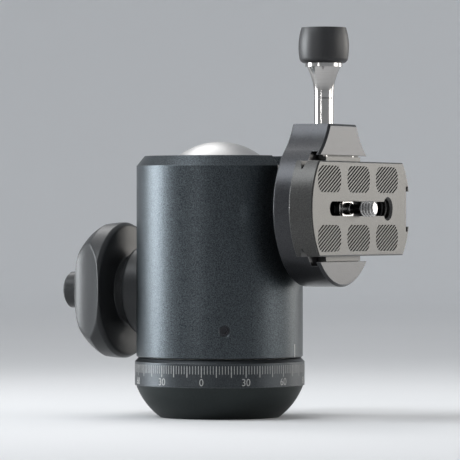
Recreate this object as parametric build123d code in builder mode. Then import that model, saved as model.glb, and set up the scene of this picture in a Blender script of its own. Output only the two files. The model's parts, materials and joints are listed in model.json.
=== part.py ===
from build123d import *
from math import asin, cos, radians, sin, sqrt, tan
import os

os.makedirs("parts", exist_ok=True)

# A ball head for a tripod, with its quick-release clamp and camera plate.
# Millimetres. The origin is the centre of the base's underside, on the pan axis.
# +Z is up, +X is the drop notch, where the clamp lies at rest, and the main knob points along -X.

# Clearances
slip = 0.05  # turning or sliding fit, on the radius
seat_gap = 0.10  # ball in its two seats, on the radius
assembly_gap = 0.02  # pieces that are fixed into one another
free_gap = 0.30  # moving pieces that never bear on one another
flat_gap = 0.05  # flat faces that slide over one another

# Base
base_foot_inset = 9.9
base_bulge_inset = 3.2
base_bulge_z = 6.9
base_inset = 0.5
base_rim_z = 13.2
base_deck_z = 23.4
base_pocket_r = 8.0
base_pocket_z = 10.2

# Scale ring
ring_proud = 0.7
ring_wall = 4.2
ring_top_z = 24.3
ring_bevel = 1.5

# Tripod bush, 3/8-16 thread at its minor diameter
bush_bore_r = 3.97
bush_body_r = 6.5
bush_flange_t = 2.8

# Pan spigot, its washer and its retainer
spigot_r = 22.0
spigot_bore_r = 14.0
spigot_floor_t = 3.6
spigot_hole_r = 4.0
spigot_screw_ring_r = 10.6
spigot_screw_r = 1.6
spigot_screw_head_r = 2.8
spigot_screw_head_t = 2.4
spigot_screw_reach = 8.0
washer_inset = 1.0
washer_t = 1.2
retainer_gap = 0.3
retainer_t = 1.95
retainer_screw_r = 1.4
retainer_screw_head_r = 2.6
retainer_screw_reach = 9.0
screw_count = 3

# Housing
ball_bore_gap = 0.5
housing_top_z = 106.6
housing_chamfer_r = 3.3
housing_chamfer_z = 4.1
housing_foot_chamfer = 0.4
housing_wall = 6.0
housing_ledge_z = 43.0
housing_ledge_w = 2.0
housing_plate_z = 45.4
housing_roof_t = 3.6
housing_ball_gap = 0.35
floor_plate_t = 1.8
floor_plate_hole_r = 5.0

# Ball, its stem and its seats
ball_r = 27.5
ball_z = 85.0
ball_flat_depth = 2.1
ball_bore_r = 6.0
ball_bore_x = 9.0
stem_r = 9.0
stem_flare_r = 11.5
stem_flare_l = 2.4
stem_tenon_r = 8.0
stem_tenon_l = 4.0
liner_h = 8.0
cup_h_top_z = 71.0
cup_floor_gap = 0.8

# Drop notch
notch_half_w = 10.5
notch_flare = 3.0

# Wedge lock, driven by the main knob
knob_z = 51.5
wedge_angle = 12.0
wedge_half_l = 15.0
wedge_half_w = 9.0
wedge_tall = 7.75
rod_r = 4.0
rod_tip_r = 3.0
rod_tip_x = 21.0
rod_reach = 18.0
knob_travel = 1.5
boss_r = 18.3
boss_proud = 3.0
boss_fillet = 2.2
boss_plug_r = 11.9
boss_plug_l = 5.4
nut_r = 7.0
nut_flange_r = 9.5
nut_flange_t = 3.0
nut_reach = 16.0
clip_t = 1.3

# Main knob, distances along its axis from the pan axis
knob_hub_r = 14.0
knob_hub_s = 3.4
knob_back_s = 7.7
knob_back_r = 26.8
knob_ridge_r = 28.0
knob_ridge_s = 9.4
knob_tip_s = 15.4
knob_brow_r = 25.1
knob_brow_s = 20.0
knob_crown_r = 21.0
knob_crown_s = 23.8
knob_top_s = 27.6
knob_scoop_s = 7.2
knob_scoop_mid_s = 14.5
knob_scoop_mid_r = 20.9
knob_scoop_in_s = 24.0
knob_scoop_in_r = 14.4
lobe_count = 3
dial_r = 7.5
dial_back_s = 26.2
dial_face_s = 35.3
dial_stem_r = 4.5
dial_stem_s = 21.6
dial_bevel = 0.9

# Pan lock
pan_z = 38.5
pan_shoe_r = 4.0
pan_shoe_gap = 0.1
pan_shoe_inset = 2.0
pan_rod_r = 2.0
pan_rod_reach = 12.0
pan_sleeve_r = 3.6
pan_sleeve_flange_r = 4.9
pan_sleeve_sunk = 6.0
pan_sleeve_flange_t = 2.0
pan_sleeve_reach = 18.0
pan_plug_r = 6.2
pan_plug_l = 6.8
pan_boss_r = 8.6
pan_boss_proud = 8.5
pan_boss_fillet = 1.2
pan_hub_r = 6.5
pan_hub_s = 8.9
pan_back_s = 11.6
pan_back_r = 10.4
pan_ridge_r = 11.3
pan_ridge_s = 12.8
pan_tip_s = 18.4
pan_brow_r = 10.6
pan_brow_s = 22.2
pan_crown_r = 8.6
pan_crown_s = 25.2
pan_top_s = 27.5
pan_scoop_s = 11.2
pan_scoop_mid_s = 15.0
pan_scoop_mid_r = 9.2
pan_scoop_in_s = 19.0
pan_scoop_in_r = 8.0

# Grub screw low on the housing
grub_angle = -60.0
grub_z = 35.9
grub_r = 2.0
grub_l = 5.0
grub_sunk = 0.8
grub_hole_l = 7.0
grub_socket = 2.2
grub_socket_depth = 1.6
grub_countersink_r = 2.5
grub_countersink_depth = 0.5

# Clamp body, heights from the ball's centre
clamp_gap = 5.2
clamp_t = 16.7
clamp_floor_t = 12.6
clamp_rim_out = 8.6
clamp_top_out = 11.2
clamp_top_half_w = 12.9
clamp_flank_out = 6.1
clamp_flank_half_w = 15.8
clamp_join_out = 0.4
clamp_bevel = 0.9
clamp_rear_edge = 0.6
channel_gap = 0.6
channel_lip_t = 1.4
upper_lip = 2.2
lower_lip = 2.0
bolt_r = 2.5
bolt_head_r = 4.4
bolt_head_t = 4.6
bolt_reach = 15.2
bolt_socket = 4.0
bolt_socket_depth = 2.4

# Jaws
jaw_half_l = 16.3
jaw_gap = 0.3
jaw_top_t = 3.0
jaw_step_t = 2.5
jaw_face_t = 3.9
jaw_band_t = 1.6
fixed_band_t = 1.8
jaw_hook = 3.1
jaw_tip_t = 0.4
jaw_nose = 1.9
jaw_travel = 0.5
slider_half_w = 8.0
slider_t = 8.8
slider_low_h = 12.0
pin_r = 1.2
pin_y = 12.5
pin_out = 1.4
pin_sunk = 2.3
pin_reach = 4.7
jaw_screw_r = 1.25
jaw_screw_head_r = 2.3
jaw_screw_y = 10.0
jaw_screw_out = 1.6
jaw_screw_reach = 1.4

# Clamp knob
stem_out = 7.8
spindle_r = 3.0
spindle_low_h = 13.0
spindle_inset = 3.0
collar_r = 3.9
collar_out = 2.1
collar_t = 3.4
sleeve_r = 3.95
sleeve_plug_r = 4.8
sleeve_plug_gap = 0.05
sleeve_proud = 10.4
flare_mid_r = 4.9
flare_mid_l = 7.7
flare_end_r = 6.9
flare_rim_r = 7.5
flare_rim_l = 4.8
flare_rim_t = 1.5
flare_core_r = 5.2
flare_core_l = 10.2
cap_low_r = 9.4
cap_low_fillet = 2.2
cap_r = 10.2
cap_mid_l = 5.6
cap_top_r = 9.0
cap_top_fillet = 2.8
cap_l = 14.4
cap_dome = 0.3

# Camera plate
plate_l = 94.8
plate_shift = 1.0
plate_w = 38.0
plate_t = 10.0
plate_y = 4.0
plate_end_r = 29.0
plate_edge = 0.5
groove_rear_t = 2.0
groove_w = 2.7
groove_depth = 3.3
groove_floor_w = 0.4
slot_w = 5.8
slot_left = 29.9
hole_y = 26.0
hole_r = 3.97
hole_mouth_r = 4.85
hole_mouth_depth = 0.9
counter_w = 13.6
counter_depth = 4.1
counter_left = 34.5
counter_right = 19.5
grip_l = 21.6
grip_h = 10.6
grip_r = 4.4
grip_pitch_y = 27.6
grip_pitch_h = 23.6
grip_shift = -2.5
grip_depth = 0.5
grip_groove_w = 0.7
grip_groove_pitch = 1.4
grip_groove_angle = 28.0
recess_mouth_w = 14.5
recess_w = 18.6
recess_mouth_depth = 2.4
recess_depth = 4.2
stop_r = 2.5
stop_proud = 1.2
stop_shank_r = 1.3
stop_shank_l = 5.0
stop_left = 41.5
stop_right = 38.5

# Camera screw, 1/4-20 thread at its major diameter
screw_r = 3.175
screw_shank_r = 2.5
screw_collar_l = 5.65
screw_neck_r = 2.0
screw_neck_out = 0.45
screw_tip_out = 6.25
screw_head_r = 6.5
screw_head_t = 2.7
screw_slot_w = 1.2
screw_slot_depth = 1.2
screw_washer_r = 5.6
screw_washer_t = 0.6

# What follows from the sizes above
bore_r = ball_r + ball_bore_gap
housing_r = bore_r + housing_wall
ring_r = housing_r + ring_proud
ring_bore_r = ring_r - ring_wall
base_r = ring_r - base_inset
base_foot_r = base_r - base_foot_inset
base_bulge_r = base_r - base_bulge_inset
washer_r = ring_bore_r - washer_inset
housing_ledge_r = bore_r - housing_ledge_w
retainer_r = housing_ledge_r - retainer_gap
boss_end_x = housing_r + boss_proud
boss_plug_x = housing_r - boss_plug_l
nut_end_x = housing_r + nut_reach
rod_end_x = housing_r + rod_reach
pan_shoe_end = bore_r - pan_shoe_inset
pan_rod_end = housing_r + pan_rod_reach
pan_sleeve_flange_y = housing_r - pan_sleeve_sunk
pan_sleeve_end = housing_r + pan_sleeve_reach
pan_plug_y = housing_r - pan_plug_l
pan_boss_end = housing_r + pan_boss_proud
ball_flat_x = ball_r - ball_flat_depth
clamp_rear_x = housing_r + clamp_gap
clamp_front_x = clamp_rear_x + clamp_t
clamp_floor_x = clamp_rear_x + clamp_floor_t
stem_flare_x = clamp_rear_x - stem_flare_l
channel_lip_x = clamp_front_x - channel_lip_t
bolt_end_x = clamp_rear_x - bolt_reach
jaw_step_x = clamp_floor_x + jaw_step_t
jaw_face_x = clamp_floor_x + jaw_face_t
slider_rear_x = clamp_floor_x - slider_t
pin_x = clamp_floor_x + pin_out
stem_x = clamp_rear_x + stem_out
housing_foot_z = base_deck_z + washer_t
roof_z = housing_top_z - housing_roof_t
spigot_top_z = housing_ledge_z + flat_gap
plate_rear_x = clamp_floor_x + flat_gap
plate_front_x = plate_rear_x + plate_t
screw_shank_x = plate_rear_x + screw_collar_l
screw_thread_x = plate_front_x + screw_neck_out
screw_tip_x = plate_front_x + screw_tip_out
jaw_base_h = plate_w / 2 + jaw_gap
jaw_top_h = jaw_base_h + jaw_top_t
jaw_band_h = jaw_base_h + jaw_band_t
fixed_band_h = jaw_base_h + fixed_band_t
jaw_tip_h = jaw_base_h - jaw_hook
jaw_nose_h = jaw_base_h - jaw_nose
jaw_screw_h = jaw_base_h + jaw_screw_out
pin_low_h = jaw_top_h - pin_sunk
pin_top_h = jaw_top_h + pin_reach
channel_h = jaw_top_h + channel_gap
upper_lip_h = jaw_base_h + upper_lip
lower_lip_h = jaw_base_h + lower_lip
clamp_join_h = channel_h + clamp_join_out
clamp_flank_h = channel_h + clamp_flank_out
clamp_top_h = channel_h + clamp_top_out
clamp_r = channel_h + clamp_rim_out
collar_low_h = channel_h + collar_out
collar_top_h = collar_low_h + collar_t
sleeve_plug_h = collar_top_h + sleeve_plug_gap
sleeve_top_h = clamp_top_h + sleeve_proud
wedge_slope = tan(radians(wedge_angle))
wedge_floor_z = housing_plate_z + floor_plate_t + flat_gap
wedge_top_z = wedge_floor_z + wedge_tall
pan_shoe_y = spigot_r + pan_shoe_gap
flare_low_h = sleeve_top_h + free_gap
flare_mid_h = flare_low_h + flare_mid_l
flare_rim_h = flare_mid_h + flare_rim_l
flare_top_h = flare_rim_h + flare_rim_t
flare_core_h = flare_top_h + flare_core_l
spindle_top_h = flare_core_h - spindle_inset
cap_mid_h = flare_top_h + cap_mid_l
cap_top_h = flare_top_h + cap_l
axis_z = Axis((0, 0, 0), (0, 0, 1))

upright = Plane.XZ
knob_plane = Plane(origin=(0, 0, knob_z), x_dir=(0, -1, 0), z_dir=(0, 0, -1))
pan_plane = Plane(origin=(0, 0, pan_z), x_dir=(1, 0, 0), z_dir=(0, 0, 1))
knob_seat = Plane(origin=(-housing_r, 0, knob_z), x_dir=(0, -1, 0), z_dir=(0, 0, -1))
pan_seat = Plane(origin=(0, housing_r, pan_z), x_dir=(1, 0, 0), z_dir=(0, 0, 1))
head_plane = Plane(origin=(0, 0, ball_z), x_dir=(0, 1, 0), z_dir=(0, 0, -1))
spindle_plane = Plane(origin=(stem_x, 0, ball_z), x_dir=(1, 0, 0), z_dir=(0, -1, 0))
channel_plane = Plane(origin=(0, 0, ball_z), x_dir=(1, 0, 0), z_dir=(0, -1, 0))


def facing_x(x, y=0.0, h=0.0):
    """A plane square to the clamp's axis, with Y to its right and Z up."""
    return Plane(origin=(x, y, ball_z + h), x_dir=(0, 1, 0), z_dir=(1, 0, 0))


def turn(plane, points, mode=Mode.ADD):
    """Turn an outline of (radius, distance along the axis) about the plane's Y axis."""
    with BuildSketch(plane) as outline:
        with BuildLine():
            Polyline(*points, close=True)
        make_face()
    revolve(outline.sketch, axis=Axis(plane.origin, plane.y_dir), mode=mode)


def rod(plane, radius, start, end, mode=Mode.ADD):
    """A plain round bar or hole along the plane's Y axis."""
    turn(plane, [(0, start), (radius, start), (radius, end), (0, end)], mode)


def tube(plane, bore, radius, start, end):
    """A plain ring along the plane's Y axis."""
    turn(plane, [(bore, start), (radius, start), (radius, end), (bore, end)])


def dome_mid(radius, low, rise):
    """The middle point of an arc that climbs from a rim to the top of a dome on the axis."""
    dome_r = (radius ** 2 + rise ** 2) / (2 * rise)
    half = asin(radius / dome_r) / 2
    return (dome_r * sin(half), low + rise - dome_r * (1 - cos(half)))


def finish(piece, name):
    """Label a finished piece and write its file."""
    piece.part.label = name
    export_step(piece.part, f"parts/{name}.step")


def lobed_body(plane, hub, back, ridge, brow, crown, scoop, top_s):
    """A knob's turned body with its finger scoops, in its own axis plane."""
    with BuildSketch(plane) as outline:
        with BuildLine():
            Polyline((0, hub[1]), hub, (hub[0], back[1]), back, (ridge[0], ridge[1]),
                     (ridge[0], ridge[2]))
            ThreePointArc((ridge[0], ridge[2]), brow, crown)
            ThreePointArc(crown, dome_mid(crown[0], crown[1], top_s - crown[1]), (0, top_s))
            Line((0, top_s), (0, hub[1]))
        make_face()
    revolve(outline.sketch, axis=Axis(plane.origin, plane.y_dir))
    reach = 2 * ridge[0]
    for step in range(lobe_count):
        angle = radians(step * 360 / lobe_count)
        across = plane.x_dir * cos(angle) + plane.z_dir * sin(angle)
        side = Plane(origin=plane.origin, x_dir=across, z_dir=across.cross(plane.y_dir))
        with BuildSketch(side) as bite:
            with BuildLine():
                ThreePointArc(scoop[0], scoop[1], scoop[2])
                Polyline(scoop[2], (scoop[2][0], 2 * top_s), (reach, 2 * top_s), (reach, scoop[0][1]),
                         scoop[0])
            make_face()
        extrude(bite.sketch, amount=reach, both=True, mode=Mode.SUBTRACT)


# Base, scale ring and tripod bush
with BuildPart() as base:
    with BuildSketch(upright):
        with BuildLine():
            Line((0, 0), (base_foot_r, 0))
            ThreePointArc((base_foot_r, 0), (base_bulge_r, base_bulge_z), (base_r, base_rim_z))
            Polyline((base_r, base_rim_z), (ring_bore_r - assembly_gap, base_rim_z),
                     (ring_bore_r - assembly_gap, base_deck_z), (0, base_deck_z), (0, 0))
        make_face()
    revolve(axis=axis_z)
    rod(upright, bush_body_r + assembly_gap, 0, base_pocket_z, Mode.SUBTRACT)
    rod(upright, base_pocket_r, base_pocket_z, base_deck_z, Mode.SUBTRACT)
    with BuildSketch(Plane.XY.offset(base_deck_z - spigot_screw_reach)):
        with PolarLocations(spigot_screw_ring_r, screw_count):
            Circle(spigot_screw_r + assembly_gap)
    extrude(amount=spigot_screw_reach, mode=Mode.SUBTRACT)
finish(base, "base")

with BuildPart() as scale_ring:
    turn(upright, [(ring_bore_r, base_rim_z), (ring_r, base_rim_z), (ring_r, ring_top_z - ring_bevel),
                   (ring_r - ring_bevel, ring_top_z), (ring_bore_r, ring_top_z)])
finish(scale_ring, "scale_ring")

with BuildPart() as tripod_bush:
    turn(upright, [(bush_bore_r, 0), (bush_body_r, 0), (bush_body_r, base_pocket_z),
                   (base_pocket_r - assembly_gap, base_pocket_z),
                   (base_pocket_r - assembly_gap, base_pocket_z + bush_flange_t),
                   (bush_bore_r, base_pocket_z + bush_flange_t)])
finish(tripod_bush, "tripod_bush")

# Pan spigot, its screws, washer and retainer
spigot_floor_z = base_deck_z + spigot_floor_t
retainer_screw_ring_r = (spigot_r + spigot_bore_r) / 2
retainer_top_z = spigot_top_z + retainer_t
retainer_cone = retainer_screw_head_r - retainer_screw_r

with BuildPart() as pan_spigot:
    rod(upright, spigot_r, base_deck_z, spigot_top_z)
    rod(upright, spigot_bore_r, spigot_floor_z, spigot_top_z, Mode.SUBTRACT)
    rod(upright, spigot_hole_r, base_deck_z, spigot_floor_z, Mode.SUBTRACT)
    with BuildSketch(Plane.XY.offset(base_deck_z)):
        with PolarLocations(spigot_screw_ring_r, screw_count):
            Circle(spigot_screw_r + assembly_gap)
    extrude(amount=spigot_floor_t, mode=Mode.SUBTRACT)
    with BuildSketch(Plane.XY.offset(spigot_top_z - retainer_screw_reach)):
        with PolarLocations(retainer_screw_ring_r, screw_count):
            Circle(retainer_screw_r + assembly_gap)
    extrude(amount=retainer_screw_reach, mode=Mode.SUBTRACT)
finish(pan_spigot, "pan_spigot")

with BuildPart() as spigot_screws:
    with BuildSketch(Plane.XY.offset(base_deck_z - spigot_screw_reach)):
        with PolarLocations(spigot_screw_ring_r, screw_count):
            Circle(spigot_screw_r)
    extrude(amount=spigot_screw_reach + spigot_floor_t)
    with BuildSketch(Plane.XY.offset(spigot_floor_z)):
        with PolarLocations(spigot_screw_ring_r, screw_count):
            Circle(spigot_screw_head_r)
    extrude(amount=spigot_screw_head_t)
finish(spigot_screws, "spigot_screws")

with BuildPart() as pan_washer:
    tube(upright, spigot_r + free_gap, washer_r, base_deck_z, housing_foot_z)
finish(pan_washer, "pan_washer")

with BuildPart() as pan_retainer:
    tube(upright, spigot_bore_r, retainer_r, spigot_top_z, retainer_top_z)
    with BuildSketch(Plane.XY.offset(spigot_top_z)):
        with PolarLocations(retainer_screw_ring_r, screw_count):
            Circle(retainer_screw_r + assembly_gap)
    extrude(amount=retainer_t, mode=Mode.SUBTRACT)
    with BuildSketch(Plane.XY.offset(retainer_top_z)):
        with PolarLocations(retainer_screw_ring_r, screw_count):
            Circle(retainer_screw_head_r + assembly_gap)
    extrude(amount=-retainer_cone, taper=45, mode=Mode.SUBTRACT)
finish(pan_retainer, "pan_retainer")

with BuildPart() as retainer_screws:
    with BuildSketch(Plane.XY.offset(spigot_top_z - retainer_screw_reach)):
        with PolarLocations(retainer_screw_ring_r, screw_count):
            Circle(retainer_screw_r)
    extrude(amount=retainer_screw_reach + retainer_t)
    with BuildSketch(Plane.XY.offset(retainer_top_z)):
        with PolarLocations(retainer_screw_ring_r, screw_count):
            Circle(retainer_screw_head_r)
    extrude(amount=-retainer_cone, taper=45)
finish(retainer_screws, "retainer_screws")

# Housing with its drop notch and the seats inside it
grub_plane = Plane.XY.rotated((0, 0, grub_angle)).offset(grub_z)
grub_axis = Plane(origin=grub_plane.origin, x_dir=(0, 0, 1), z_dir=grub_plane.y_dir)
grub_face = housing_r - grub_sunk

with BuildPart() as housing:
    chamfer_low_z = housing_top_z - housing_chamfer_z
    top_edge_r = housing_r - housing_chamfer_r
    turn(upright, [(spigot_r + slip, housing_foot_z), (housing_r - housing_foot_chamfer, housing_foot_z),
                   (housing_r, housing_foot_z + housing_foot_chamfer), (housing_r, chamfer_low_z),
                   (top_edge_r, housing_top_z), (0, housing_top_z), (0, roof_z), (bore_r, roof_z),
                   (bore_r, housing_plate_z), (housing_ledge_r, housing_plate_z),
                   (housing_ledge_r, housing_ledge_z), (spigot_r + slip, housing_ledge_z)])
    with Locations((0, 0, ball_z)):
        Sphere(ball_r + housing_ball_gap, mode=Mode.SUBTRACT)
    with BuildSketch(facing_x(0)):
        Circle(notch_half_w)
        with Locations((0, housing_r / 2)):
            Rectangle(2 * notch_half_w, housing_r)
    extrude(amount=2 * housing_r, mode=Mode.SUBTRACT)
    with BuildSketch(facing_x(housing_r)):
        Circle(notch_half_w + notch_flare)
        with Locations((0, housing_r / 2)):
            Rectangle(2 * (notch_half_w + notch_flare), housing_r)
    extrude(amount=-notch_flare, taper=45, mode=Mode.SUBTRACT)
    rod(knob_plane, boss_plug_r + assembly_gap, 0, 2 * housing_r, Mode.SUBTRACT)
    rod(pan_plane, pan_shoe_r + slip, 0, housing_r, Mode.SUBTRACT)
    rod(pan_plane, pan_plug_r + assembly_gap, pan_plug_y, 2 * housing_r, Mode.SUBTRACT)
    rod(grub_axis, grub_r + assembly_gap, housing_r - grub_hole_l, 2 * housing_r, Mode.SUBTRACT)
    turn(grub_axis, [(0, housing_r - grub_countersink_depth), (grub_r, housing_r - grub_countersink_depth),
                     (grub_countersink_r, housing_r), (grub_countersink_r, 2 * housing_r),
                     (0, 2 * housing_r)], Mode.SUBTRACT)
finish(housing, "housing")

with BuildPart() as seat_liner:
    rod(upright, bore_r - assembly_gap, roof_z - liner_h, roof_z)
    with Locations((0, 0, ball_z)):
        Sphere(ball_r + seat_gap, mode=Mode.SUBTRACT)
    with Locations((housing_r / 2, 0, roof_z)):
        Box(housing_r, 2 * notch_half_w, 2 * liner_h, mode=Mode.SUBTRACT)
finish(seat_liner, "seat_liner")

with BuildPart() as floor_plate:
    tube(upright, floor_plate_hole_r, bore_r - assembly_gap, housing_plate_z, housing_plate_z + floor_plate_t)
finish(floor_plate, "floor_plate")

with BuildPart() as grub_screw:
    rod(grub_axis, grub_r, grub_face - grub_l, grub_face)
    with BuildSketch(Plane(origin=grub_axis.origin + grub_axis.y_dir * grub_face, z_dir=grub_axis.y_dir)):
        RegularPolygon(grub_socket / 2, 6, major_radius=False)
    extrude(amount=-grub_socket_depth, mode=Mode.SUBTRACT)
finish(grub_screw, "grub_screw")

# Main lock: the knob turns a captive nut, which draws the push rod and its wedge under the ball cup
with BuildPart() as knob_boss:
    rod(knob_plane, boss_r, bore_r, boss_end_x)
    fillet(edges().filter_by(GeomType.CIRCLE).group_by(Axis.X)[0], boss_fillet)
    rod(upright, housing_r + assembly_gap, 0, housing_top_z, Mode.SUBTRACT)
    rod(knob_plane, boss_plug_r, boss_plug_x, housing_r)
    rod(knob_plane, nut_r + slip, 0, boss_end_x, Mode.SUBTRACT)
    rod(knob_plane, nut_flange_r + slip, 0, boss_end_x - 2 * clip_t, Mode.SUBTRACT)
finish(knob_boss, "knob_boss")

nut_step_x = boss_end_x - 2 * clip_t - flat_gap
clip_x = nut_step_x - nut_flange_t - flat_gap

with BuildPart() as knob_nut:
    rod(knob_plane, nut_flange_r, nut_step_x - nut_flange_t, nut_step_x)
    rod(knob_plane, nut_r, nut_step_x, nut_end_x)
    rod(knob_plane, rod_r + slip, 0, nut_end_x, Mode.SUBTRACT)
finish(knob_nut, "knob_nut")

with BuildPart() as boss_clip:
    tube(knob_plane, nut_r, nut_flange_r + slip - assembly_gap, clip_x - clip_t, clip_x)
finish(boss_clip, "boss_clip")

with BuildPart() as push_rod:
    rod(knob_plane, rod_tip_r, wedge_half_l, rod_tip_x)
    rod(knob_plane, rod_r, rod_tip_x, rod_end_x)
finish(push_rod, "push_rod")

with BuildPart() as wedge_block:
    with BuildSketch(upright):
        with BuildLine():
            Polyline((-wedge_half_l, wedge_floor_z), (wedge_half_l, wedge_floor_z),
                     (wedge_half_l, wedge_top_z - 2 * wedge_half_l * wedge_slope),
                     (-wedge_half_l, wedge_top_z), close=True)
        make_face()
    extrude(amount=wedge_half_w, both=True)
finish(wedge_block, "wedge_block")

with BuildPart() as ball_cup:
    cup_low_z = wedge_floor_z + cup_floor_gap
    cup_slant_z = wedge_top_z + flat_gap
    slant_reach = 2 * housing_r
    rod(upright, bore_r - free_gap, cup_low_z, cup_h_top_z)
    with Locations((0, 0, ball_z)):
        Sphere(ball_r + seat_gap, mode=Mode.SUBTRACT)
    with BuildSketch(upright):
        with BuildLine():
            Polyline((-slant_reach, cup_slant_z + (slant_reach - wedge_half_l) * wedge_slope),
                     (slant_reach, cup_slant_z - (slant_reach + wedge_half_l) * wedge_slope),
                     (slant_reach, -slant_reach), (-slant_reach, -slant_reach), close=True)
        make_face()
    extrude(amount=housing_r, both=True, mode=Mode.SUBTRACT)
finish(ball_cup, "ball_cup")

with BuildPart() as main_knob:
    lobed_body(knob_seat, (knob_hub_r, knob_hub_s), (knob_back_r, knob_back_s),
               (knob_ridge_r, knob_ridge_s, knob_tip_s), (knob_brow_r, knob_brow_s),
               (knob_crown_r, knob_crown_s),
               ((knob_ridge_r, knob_scoop_s), (knob_scoop_mid_r, knob_scoop_mid_s),
                (knob_scoop_in_r, knob_scoop_in_s)), knob_top_s)
    rod(knob_plane, nut_r + assembly_gap, 0, nut_end_x, Mode.SUBTRACT)
    rod(knob_plane, rod_r + free_gap, nut_end_x, rod_end_x + 2 * knob_travel, Mode.SUBTRACT)
    rod(knob_seat, dial_stem_r + slip, dial_stem_s, knob_top_s, Mode.SUBTRACT)
    rod(knob_seat, dial_r + free_gap, dial_back_s, 2 * knob_top_s, Mode.SUBTRACT)
finish(main_knob, "main_knob")

with BuildPart() as friction_dial:
    turn(knob_seat, [(0, dial_stem_s), (dial_stem_r, dial_stem_s), (dial_stem_r, dial_back_s),
                      (dial_r, dial_back_s), (dial_r, dial_face_s - dial_bevel),
                      (dial_r - dial_bevel, dial_face_s), (0, dial_face_s)])
finish(friction_dial, "friction_dial")

# Pan lock: a small knob turns a captive sleeve, which draws the brake shoe off the spigot
with BuildPart() as pan_bush:
    rod(pan_plane, pan_boss_r, bore_r, pan_boss_end)
    fillet(edges().filter_by(GeomType.CIRCLE).group_by(Axis.Y)[-1], pan_boss_fillet)
    rod(upright, housing_r + assembly_gap, 0, housing_top_z, Mode.SUBTRACT)
    rod(pan_plane, pan_plug_r, pan_plug_y, housing_r)
    rod(pan_plane, pan_sleeve_r + slip, 0, pan_boss_end, Mode.SUBTRACT)
    rod(pan_plane, pan_sleeve_flange_r + slip, 0,
        pan_sleeve_flange_y + pan_sleeve_flange_t + flat_gap, Mode.SUBTRACT)
finish(pan_bush, "pan_bush")

with BuildPart() as pan_sleeve:
    rod(pan_plane, pan_sleeve_flange_r, pan_sleeve_flange_y, pan_sleeve_flange_y + pan_sleeve_flange_t)
    rod(pan_plane, pan_sleeve_r, pan_sleeve_flange_y, pan_sleeve_end)
    rod(pan_plane, pan_rod_r + slip, 0, pan_sleeve_end, Mode.SUBTRACT)
finish(pan_sleeve, "pan_sleeve")

with BuildPart() as pan_shoe:
    rod(pan_plane, pan_shoe_r, pan_shoe_y, pan_shoe_end)
    rod(pan_plane, pan_rod_r, pan_shoe_end, pan_rod_end)
finish(pan_shoe, "pan_shoe")

with BuildPart() as pan_knob:
    lobed_body(pan_seat, (pan_hub_r, pan_hub_s), (pan_back_r, pan_back_s),
               (pan_ridge_r, pan_ridge_s, pan_tip_s), (pan_brow_r, pan_brow_s),
               (pan_crown_r, pan_crown_s),
               ((pan_ridge_r, pan_scoop_s), (pan_scoop_mid_r, pan_scoop_mid_s),
                (pan_scoop_in_r, pan_scoop_in_s)), pan_top_s)
    rod(pan_plane, pan_sleeve_r + assembly_gap, 0, pan_sleeve_end, Mode.SUBTRACT)
finish(pan_knob, "pan_knob")

# Ball and stem
with BuildPart() as ball:
    with Locations((0, 0, ball_z)):
        Sphere(ball_r)
    rod(head_plane, ball_r, ball_flat_x, 2 * ball_r, Mode.SUBTRACT)
    rod(head_plane, ball_bore_r + slip, ball_bore_x, ball_r, Mode.SUBTRACT)
finish(ball, "ball")

with BuildPart() as ball_stem:
    with BuildSketch(head_plane):
        with BuildLine():
            Polyline((0, ball_bore_x + free_gap), (ball_bore_r, ball_bore_x + free_gap),
                     (ball_bore_r, ball_flat_x), (stem_r, ball_flat_x), (stem_r, stem_flare_x))
            RadiusArc((stem_r, stem_flare_x), (stem_flare_r, clamp_rear_x), stem_flare_r - stem_r)
            Polyline((stem_flare_r, clamp_rear_x), (stem_tenon_r, clamp_rear_x),
                     (stem_tenon_r, clamp_rear_x + stem_tenon_l), (0, clamp_rear_x + stem_tenon_l),
                     (0, ball_bore_x + free_gap))
        make_face()
    revolve(axis=Axis(head_plane.origin, head_plane.y_dir))
    rod(head_plane, bolt_r + assembly_gap, bolt_end_x, clamp_floor_x, Mode.SUBTRACT)
finish(ball_stem, "ball_stem")

# Clamp body, fixed to the stem by one bolt
bolt_seat_x = clamp_floor_x - bolt_head_t

with BuildPart() as clamp_bolt:
    rod(head_plane, bolt_r, bolt_end_x, bolt_seat_x)
    rod(head_plane, bolt_head_r, bolt_seat_x, clamp_floor_x - free_gap)
    with BuildSketch(facing_x(clamp_floor_x - free_gap)):
        RegularPolygon(bolt_socket / 2, 6, major_radius=False)
    extrude(amount=-bolt_socket_depth, mode=Mode.SUBTRACT)
finish(clamp_bolt, "clamp_bolt")

clamp_join_w = sqrt(clamp_r ** 2 - clamp_join_h ** 2)

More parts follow.
